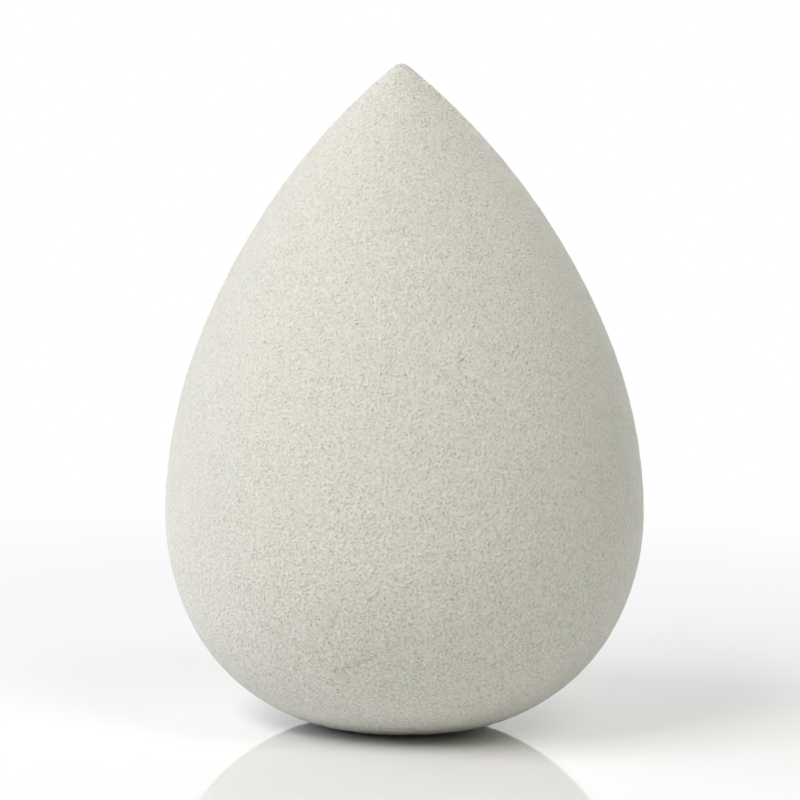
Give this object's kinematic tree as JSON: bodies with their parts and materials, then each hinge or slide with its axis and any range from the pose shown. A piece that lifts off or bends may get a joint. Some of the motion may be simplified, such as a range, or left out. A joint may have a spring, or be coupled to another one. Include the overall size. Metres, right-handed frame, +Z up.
{
  "type": "makeup sponge",
  "caption": "Teardrop makeup sponge of soft fine-pored foam with a rounded bowl for blending, a blunt point for small areas, and a gently rounded sole with a small flat on which it stands upright.",
  "frame": {"origin": "centre of the small flat face that the sponge stands on, which lies on its axis", "axes": "+Z up along the axis of the teardrop to its tip, +X to the right and +Y away from someone who looks at it as the picture does"},
  "size_m": [0.043, 0.043, 0.06],
  "materials": {
    "foam": "matte fine open-cell foam, warm light grey"
  },
  "bodies": {
    "root": {"foam_body": "foam"}
  },
  "joints": []
}
